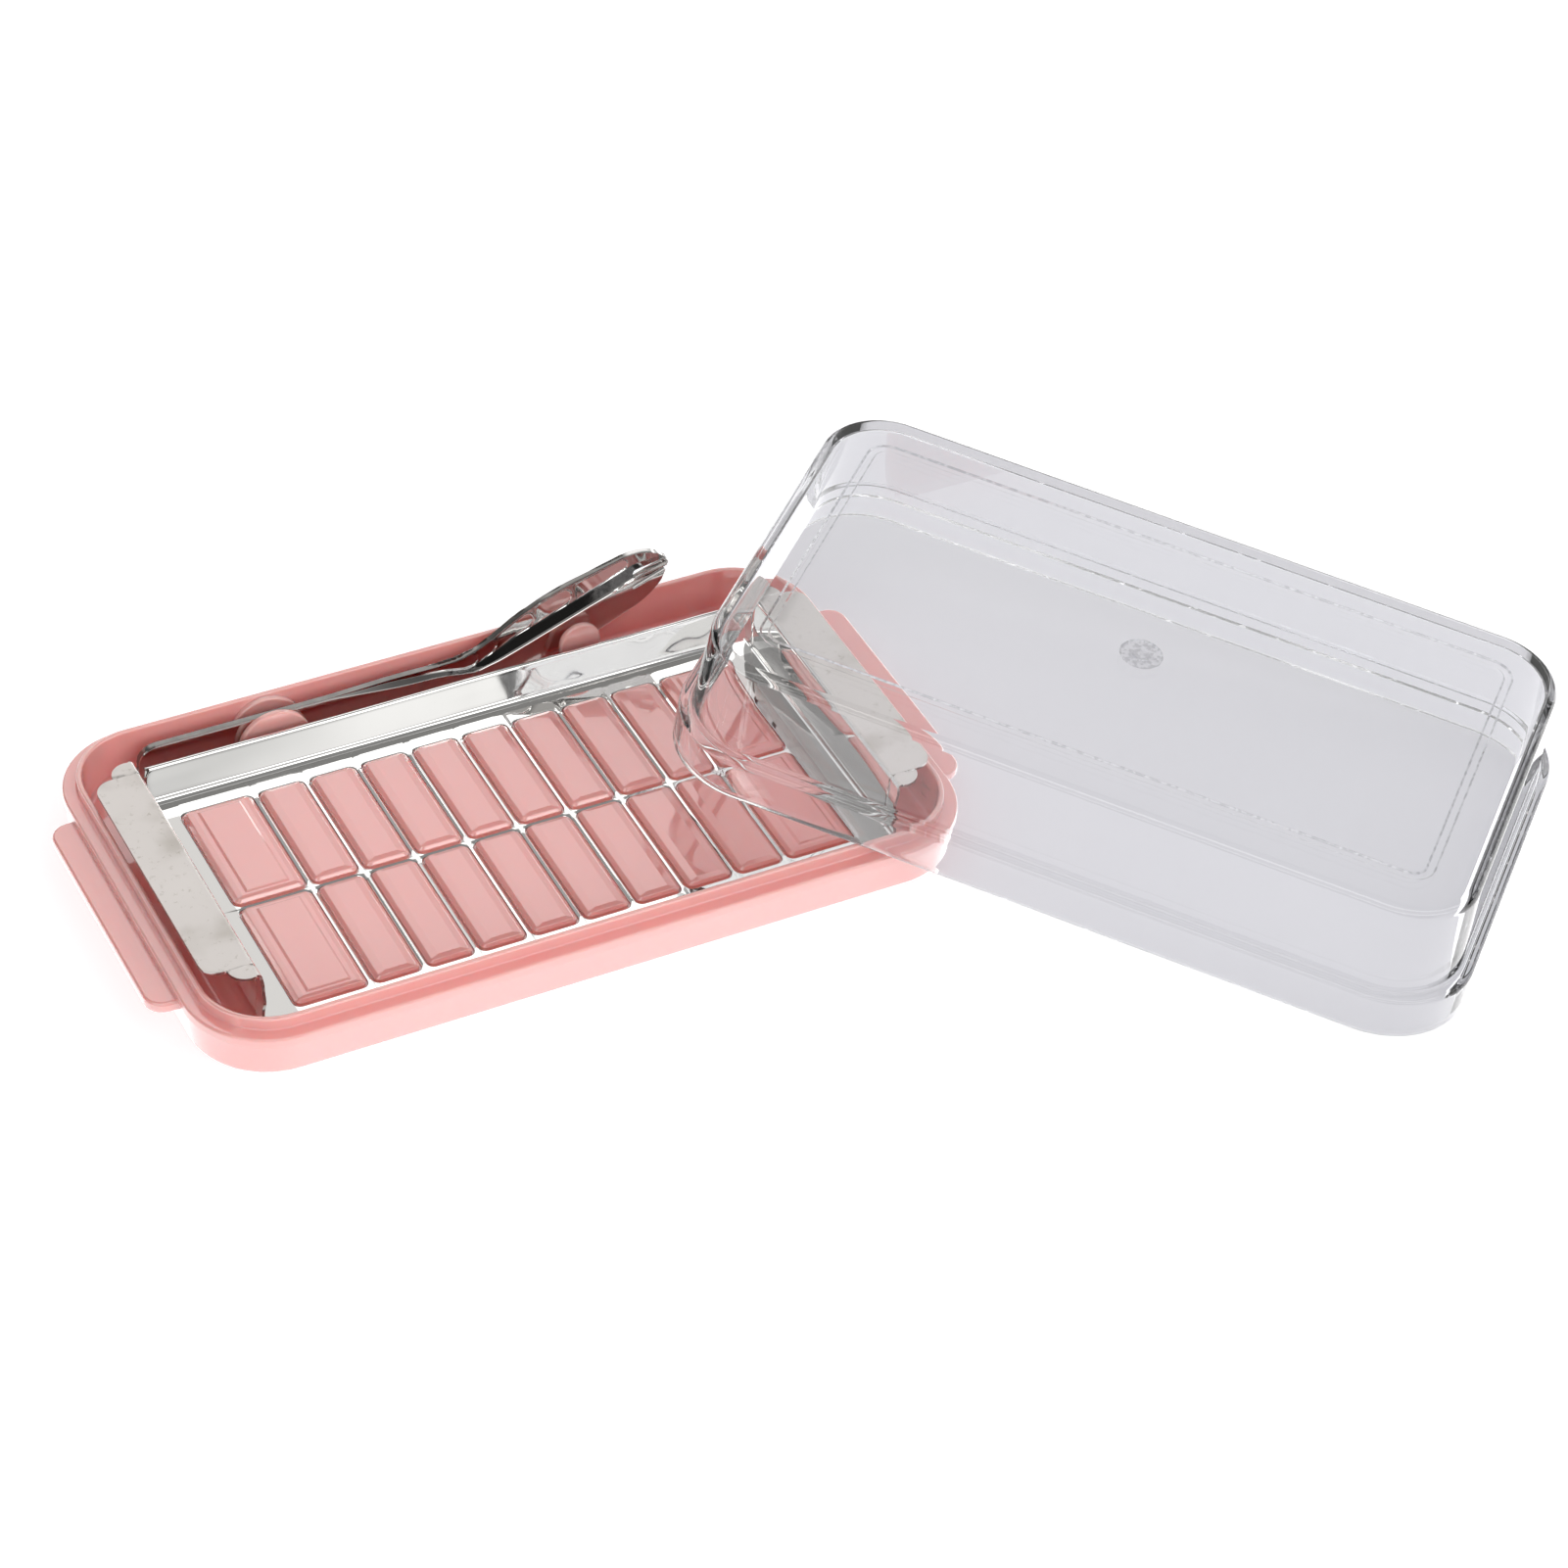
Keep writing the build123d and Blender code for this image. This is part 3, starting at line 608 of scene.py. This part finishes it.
# each tine ends round: its lane is longest in the middle, and the nose gives the reach at each lane's edges
is_tine = lane % 2 == 0
nose = np.interp(lane + within, np.arange(6), [53.9, 54.5, 54.75, 54.87, 54.3, 53.2])
roundness = np.where(is_tine, np.sin(pi * within) ** 0.5, 0)
tine_end = nose - 0.75 * (1 - roundness) * is_tine * (lane > 0) - 0.3 * (lane == 4) * within
beyond = np.clip((columns - FORK_X) / (TINES_X - FORK_X), 0, 1)
x = np.where(beyond > 0, FORK_X + beyond * (tine_end[:, None] - FORK_X), columns)
low, high = np.interp(x, stations, belly), np.interp(x, stations, upper)
slot_half = SLOT_HALF * np.sqrt(1 - np.clip((SLOT_ROUND_X - x) / SLOT_ROUND, 0, 0.9) ** 2)
lower_slot, upper_slot = (slot_z + (x - slot_x) * SLOT_RISE for slot_x, slot_z in (LOWER_SLOT, UPPER_SLOT))
lane_edges = np.stack([
    low, lower_slot - slot_half, lower_slot + slot_half, upper_slot - slot_half,
    np.minimum(upper_slot + slot_half, high - 0.12), high,
])
lane_low = lane_edges[lane, row[:, 0]]
lane_high = lane_edges[lane + 1, row[:, 0]]
in_lanes = lane_low + within[:, None] * (lane_high - lane_low)

# behind the fork the rows follow the crease and the band above it, so that both edges stay crisp
crease_here = np.minimum(np.interp(x, stations, crease), high - 0.3)
steep = np.cos(np.arctan(np.interp(x, stations, np.gradient(crease, stations))))
band_wide = np.interp(x, [-30, -5, 3, 8, 11, 16, 20], [1.2, 1.3, 1.1, 1.0, 1.4, 2.1, 2.4])
band_high = np.minimum(band_wide / steep, 0.7 * (high - crease_here))
on_crease = sum(lane_rows[:3])
on_floor = on_crease + band_rows
aligned = (
    low + np.clip(row / on_crease, 0, 1) * (crease_here - low)
    + np.clip((row - on_crease) / (on_floor - on_crease), 0, 1) * band_high
    + np.clip((row - on_floor) / (len(lane) - 1 - on_floor), 0, 1) * (high - crease_here - band_high)
)
z = aligned + shelf(x, 41.0, FORK_X) * (in_lanes - aligned)

# depth behind the crease: the band slopes back, then come the pockets, each a round-ended step as wide as
# the room between the band and the spine, deeper towards its right end. Below the crease the blade falls
# back too, and at the tines all of it closes.
above = (z - crease_here) * steep
over_band, under_spine = above - band_high * steep, (high - z) * steep - SPINE_LAND
middle, half_wide = (over_band - under_spine) / 2, (over_band + under_spine) / 2
sunk, in_pocket = np.zeros_like(z), np.zeros_like(z)
for end_x, length in POCKETS:
    from_right = (x - end_x) / steep + 0.25 * middle
    inside = half_wide - np.hypot(np.maximum(from_right + half_wide, 0), middle)
    reach = np.clip(1 + from_right / length, 0, 1) ** 0.6
    sunk = np.maximum(sunk, POCKET_DEEP * shelf(inside, 0.0, 0.2) * reach)
    in_pocket = np.maximum(in_pocket, shelf(inside, -0.25, -0.05) * np.clip(3 * reach, 0, 1))
closing = 1 - shelf(x + 0.3 * (z - 23), 46.5, 53.5)
fall = FALL_SLOPE * np.clip(crease_here - z, 0, 10.5) * shelf(x, 2, 26)
ledge = LEDGE_DEEP * shelf(above, 0, 0.14) * shelf(x, 4, 16)
depth = (BAND_SLOPE * np.clip(above, 0, band_high * steep) + ledge + sunk) * closing + fall
points, faces = woven(surface(x, KNIFE_Y + np.maximum(depth, 0), z))
faces = np.array(faces).reshape(len(lane) - 1, len(columns) - 1, 4)
in_slot = ~is_tine[1:, None] & (columns[1:] > FORK_X + 0.01)
knife = piece("butter_knife_sheet", "knife", [(points, faces[~in_slot].tolist())], crease=60)

# the band and the lands between the pockets are painted a darker steel: a painted reflection of a dark part
# of the room, which fades along the handle and at the tines
on_band = shelf(above, 0.05, 0.2) * (1 - in_pocket) * (1 - 0.45 * shelf(over_band, -0.1, 0.1))
along_knife = shelf(x, -34, -8) * (1 - 0.3 * shelf(x, 47.0, 50.0)) * (1 - shelf(x, 53.0, TINES_X))
darker = knife.data.attributes.new("band", "FLOAT", "POINT")
darker.data.foreach_set("value", (on_band * along_knife).ravel())
thickened(knife, KNIFE_SHEET, -1, KNIFE_EDGE)

KNIFE_STEEL, PALE_KNIFE, BAND_PAINTED_REFLECTION = (0.6, 0.585, 0.57, 1), (0.68, 0.665, 0.65, 1), (0.125, 0.12, 0.117, 1)
polished, nodes, shader = finish_of("polished knife steel", "stainless_knife", Metallic=1.0)
where = nodes.node("TexCoord", out=3)
smear = where.noise(90.0, 3.0)
wave = where.noise(55.0, 1.5)
# the band attribute paints the dark room's reflection onto the steel
band = nodes.node("Attribute", {"attribute_name": "band"}, out=2)
linked(
    shader,
    Base_Color=band.mixed(smear.mixed(KNIFE_STEEL, PALE_KNIFE), BAND_PAINTED_REFLECTION),
    Roughness=0.04 + 0.05 * smear.band(0.45, 0.8),
    Normal=nodes.node("Bump", Strength=0.12, Distance=0.0004, Height=wave),
)

# the edge all round the knife is darker than its faces, but for the tips of the tines
DARK_EDGE, PALE_EDGE, TINE_EDGE = (0.12, 0.115, 0.11, 1), (0.26, 0.25, 0.24, 1), (0.62, 0.61, 0.6, 1)
knife_edge, nodes, shader = finish_of("knife edge steel", "stainless_knife", Metallic=1.0)
where = nodes.node("TexCoord", out=3)
burr = where.noise(400.0, 2.0)
at_tines = nodes.node("SeparateXYZ", out=0, Vector=where).band(0.045, 0.0465)
linked(
    shader,
    Base_Color=at_tines.mixed(burr.mixed(DARK_EDGE, PALE_EDGE), TINE_EDGE),
    Roughness=0.1 + 0.1 * burr,
)
dress(knife, polished, knife_edge)
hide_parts("butter_knife")

# ---- lid: a clear moulded polystyrene shell 2 mm thick, with a wider skirt below a shoulder.
# It is off the tray: its right end lies on the table and its front edge leans on the tray's lip.
LID_X, LID_Y, LID_CORNER, LID_TOP, LID_WALL = 85.9, 50.6, 19.0, 30.6, 2.0
LID_SHOULDER, SHOULDER_WIDTH, SKIRT_DRAFT, WALL_DRAFT = 9.6, 2.6, 1.5, 3.6
GROOVE_IN, GROOVE_WIDE, GROOVE_DEEP, GROOVE_SLOPE, OVAL_IN = 14.2, 1.7, 0.3, 0.4, 17.2
RIM_IN, RIM_RADIUS, PROFILE_STEPS = 1.0, 0.5, 8
LID_TURN, LID_PLACE, LID_GAP = radians(-47.3), (119.0, -40.9), 0.1
skirt_in = LID_SHOULDER * tan(radians(SKIRT_DRAFT))
wall_in = skirt_in + SHOULDER_WIDTH
top_in = wall_in + (LID_TOP - LID_SHOULDER) * tan(radians(WALL_DRAFT))
outer = softened([
    (-RIM_IN, 0, 0), (0, 0, RIM_RADIUS), (-skirt_in, LID_SHOULDER, 1.1), (-wall_in, LID_SHOULDER, 0.9),
    (-top_in, LID_TOP, 2.1), (-GROOVE_IN + GROOVE_SLOPE, LID_TOP, 0.2),
    (-GROOVE_IN, LID_TOP - GROOVE_DEEP, 0.15),
    (-GROOVE_IN - GROOVE_WIDE + GROOVE_SLOPE, LID_TOP - GROOVE_DEEP, 0.15),
    (-GROOVE_IN - GROOVE_WIDE, LID_TOP, 0.2), (-OVAL_IN, LID_TOP, 0),
], PROFILE_STEPS)
inner = softened([
    (-OVAL_IN, LID_TOP - LID_WALL, 0), (-top_in - LID_WALL + 0.1, LID_TOP - LID_WALL, 1.6),
    (-wall_in - LID_WALL, LID_SHOULDER - LID_WALL, 0.9),
    (-skirt_in - LID_WALL + 0.05, LID_SHOULDER - LID_WALL, 1.0), (-LID_WALL, 0, RIM_RADIUS),
    (-RIM_IN, 0, 0),
], PROFILE_STEPS)
lid_outer = rings(outer, LID_X, LID_Y, LID_CORNER, 24)
lid_inner = rings(inner, LID_X, LID_Y, LID_CORNER, 24)

# gate mark in the middle of the top: a shallow dish with a snapped nub, and rings that pass to it from the
# outline inside the groove; the ceiling under it closes to a small ring
GATE_DEEP, GATE_TURN, CEILING_RING = 0.35, 0.03, 0.02
gate = softened([
    (4.9, LID_TOP, 0), (4.5, LID_TOP, 0.3), (4.1, LID_TOP - GATE_DEEP, 0.3), (1.9, LID_TOP - GATE_DEEP, 0.2),
    (1.6, LID_TOP + 0.05, 0.2), (0.25, LID_TOP - 0.05, 0),
], 5)
around = np.linspace(0, 2 * pi, lid_outer.shape[1], endpoint=False) + GATE_TURN
gate_rings = surface(gate[:, :1] * np.cos(around), gate[:, :1] * np.sin(around), gate[:, 1:])
share = np.linspace(0, 1, 6)[1:-1, None, None]
passing = lid_outer[-1] + share * (gate_rings[0] - lid_outer[-1])
ceiling = lid_inner[:1] * [CEILING_RING, CEILING_RING, 1]
lid_grid = np.concatenate([ceiling, lid_inner, lid_outer[1:], passing, gate_rings])
points, faces = woven(lid_grid, around=True, capped=True)

# the lid is turned about z, and tilted about its right end until its front rim lies over the tray's lip
# where the two cross, a small gap above it, while its rounded rim stands on the table at the right end
lip_y = -(TRAY_Y - LEDGE_WIDTH)
cross_x = (lip_y - LID_PLACE[1] + (LID_Y - LID_WALL) * cos(LID_TURN)) / sin(LID_TURN)
tilt = asin((TRAY_LIP + LID_GAP) / (LID_X - cross_x))
lift = (LID_X - RIM_RADIUS) * sin(tilt) + RIM_RADIUS * (1 - cos(tilt))
along_x = np.array([cos(tilt) * cos(LID_TURN), cos(tilt) * sin(LID_TURN), -sin(tilt)])
upwards = np.array([sin(tilt) * cos(LID_TURN), sin(tilt) * sin(LID_TURN), cos(tilt)])
placed = points @ np.stack([along_x, np.cross(upwards, along_x), upwards]) + (*LID_PLACE, lift)
lid = piece("clear_lid", "lid", [(placed, faces)], crease=60)

# the groove's two slopes and the gate mark are darker and less clear: they are the rows past the outer
# profile's first four corners that lie neither at the top nor at the groove's floor, and the two middles that
# cap the grid come last
drop = np.abs(LID_TOP - lid_grid[:, 0, 2])
sloping = (drop > 0.003) & (np.abs(drop - GROOVE_DEEP) > 0.003)
on_top = np.arange(len(lid_grid)) > len(lid_inner) + 4 * (PROFILE_STEPS + 1)
marked = np.repeat(np.where(on_top & sloping, 1.0, 0.0), lid_grid.shape[1])
less_clear = lid.data.attributes.new("pressed", "FLOAT", "POINT")
less_clear.data.foreach_set("value", np.concatenate([marked, [0, 0.6]]))

# light bends less in this shell than in real polystyrene, because light that is thrown back inside the
# rims many times would leave them black, and the coat gives the gloss of the real plastic
CLEAR, FROSTED = (0.972, 0.976, 0.99, 1), (0.5, 0.5, 0.52, 1)
clear, nodes, shader = finish_of(
    "clear moulded plastic", "clear_plastic", Transmission_Weight=1.0, IOR=1.18,
    Coat_Weight=1.0, Coat_IOR=1.5, Coat_Roughness=0.01,
)
where = nodes.node("TexCoord", out=3)
flow = where.noise(14.0, 1.0)
scratch = where.noise(600.0, 2.0)
speckle = where.noise(900.0, 1.0)
pressed = nodes.node("Attribute", {"attribute_name": "pressed"}, out=2)
pressed = pressed * (0.35 + 0.65 * speckle.band(0.4, 0.6))
linked(
    shader,
    Base_Color=pressed.mixed(CLEAR, FROSTED),
    Roughness=0.02 * scratch.band(0.6, 0.75) + 0.1 * pressed,
    Normal=nodes.node("Bump", Strength=0.1, Distance=0.0004, Height=flow + 1.5 * pressed * speckle),
)
dress(lid, clear)
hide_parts("lid")

# ---- table, light and camera: a pale table in a white tent, lit evenly from all round and more from the
# front and the right. The table glows by itself: little on the object, but white to the eye and in mirrors.
TABLE = 6.0
TABLE_TONE, TABLE_GLOW = (0.5, 0.498, 0.512, 1), (0.31, 0.307, 0.328, 1)
TABLE_SEEN, TABLE_MIRRORED = (0.72, 0.72, 0.72, 1), (1.4, 1.395, 1.39, 1)
table = bpy.data.meshes.new("table")
table_corners = [(-TABLE, -TABLE, 0), (TABLE, -TABLE, 0), (TABLE, TABLE, 0), (-TABLE, TABLE, 0)]
table.from_pydata(table_corners, [], [(0, 1, 2, 3)])
floor = bpy.data.objects.new("table", table)
bpy.context.scene.collection.objects.link(floor)
pale, nodes, shader = finish_of("pale table", "", Base_Color=TABLE_TONE, Roughness=0.9, Emission_Strength=1.0)
camera_ray, glossy_ray, reflection_ray = (nodes.node("LightPath", out=place) for place in (0, 3, 5))
glow = (glossy_ray * reflection_ray).mixed(TABLE_GLOW, TABLE_MIRRORED)
linked(shader, Emission_Color=camera_ray.mixed(glow, TABLE_SEEN))
floor.data.materials.append(pale)

# the tent's brightness by direction: side is to the right, deep is to the back, and up is overhead
room = bpy.data.worlds.new("tent")
bpy.context.scene.world = room
room.use_nodes = True
sky = Signal(room.node_tree)
ray = sky.node("TexCoord", out=0)
side, deep, up = (sky.node("SeparateXYZ", out=axis, Vector=ray) for axis in range(3))
front = 0.0 - deep
tent = 0.2 + 0.64 * (1.0 - up.band(0.1, 0.8)) + 0.85 * front.band(0.1, 0.9) + 0.65 * side.band(-0.5, 0.8)

# polished steel mirrors what stands in and round the tent: a dark gap overhead, a dark room low down but for
# an opening to the front right, a dark corner at the back left, a white card at the back and a grey front
gap = (1.0 - (deep - 0.74 * up).band(-0.12, 0.08)) * (deep + 0.2 * up).band(-0.35, 0.15) * up.band(0.3, 0.5)
opening = side.band(0.15, 0.32) * front.band(0.3, 0.6)
low_down = (1.0 - up.band(0.4, 0.5)) * (1.0 - opening) * (0.5 + 0.38 * (1.0 - deep.band(0.0, 0.3)))
left_corner = (0.0 - side).band(0.15, 0.35) * deep.band(0.3, 0.5) * (1.0 - up.band(0.7, 0.85))
white_card = (1.0 - side.band(0.39, 0.45)) * deep.band(0.4, 0.55) * up.band(0.5, 0.58)
grey_front = front.band(0.2, 0.5) * up.band(0.24, 0.34)
mirrored = (
    (1.0 - 0.75 * gap) * (1.0 - 0.45 * grey_front) * (1.0 - low_down)
    * (1.0 - 0.75 * left_corner) * (1.0 + 0.5 * white_card)
)


def strip_between(first_slope, last_slope, soft):
    """1 between the planes where deep is minus the first slope and minus the last slope times up."""
    past_first = (deep + first_slope * up).band(-soft, soft)
    return past_first * (1.0 - (deep + last_slope * up).band(-soft, soft))


strip_over = strip_between(0.48, 0.25, 0.03) * up.band(0.4, 0.6)
strip_front = strip_between(1.9, 1.35, 0.05) * up.band(0.2, 0.35)
strip_right = side.band(0.6, 0.65) * (1.0 - side.band(0.69, 0.74)) * deep.band(0.3, 0.5) * up.band(0.2, 0.3)
lamps = 2.6 * strip_over + 3.0 * strip_front + 2.5 * strip_right

# the camera sees plain white, a mirror sees the surroundings and three lamps, clear plastic passes an even
# white, and everything else is lit by the tent
camera_ray, glossy_ray, reflection_ray, passed = (sky.node("LightPath", out=place) for place in (0, 3, 5, 6))
reflected = reflection_ray * glossy_ray
soft = tent + passed * (0.9 * (1.0 - 0.35 * left_corner) - tent)
tone = sky.maths("MAXIMUM", soft + reflected * (mirrored + lamps - soft), camera_ray)
background = room.node_tree.nodes["Background"]
background.inputs["Color"].default_value = (1.0, 0.995, 0.985, 1.0)
room.node_tree.links.new(tone.socket, background.inputs["Strength"])

# the camera stands at the front left, above the tray, and looks back and down to the right; metres
FOCAL_LENGTH, SENSOR_WIDTH = 109.037, 36.0
EYE = (-0.311972, -0.667785, 0.651693)
RIGHTWARD = (0.8909270764, -0.4513412720, 0.0503984203)
DOWNWARD = (-0.2618464095, -0.6011786154, -0.7549971723)
FORWARD = (0.3710598366, 0.6594507780, -0.6537883980)
lens = bpy.data.cameras.new("camera")
lens.lens = FOCAL_LENGTH
lens.sensor_width = SENSOR_WIDTH
lens.clip_start = 0.05
lens.clip_end = 30
camera = bpy.data.objects.new("camera", lens)
bpy.context.scene.collection.objects.link(camera)
axes = [(RIGHTWARD[i], -DOWNWARD[i], -FORWARD[i], EYE[i]) for i in range(3)]
camera.matrix_world = Matrix([*axes, (0, 0, 0, 1)])
bpy.context.scene.camera = camera
bpy.context.scene.view_settings.view_transform = "Standard"
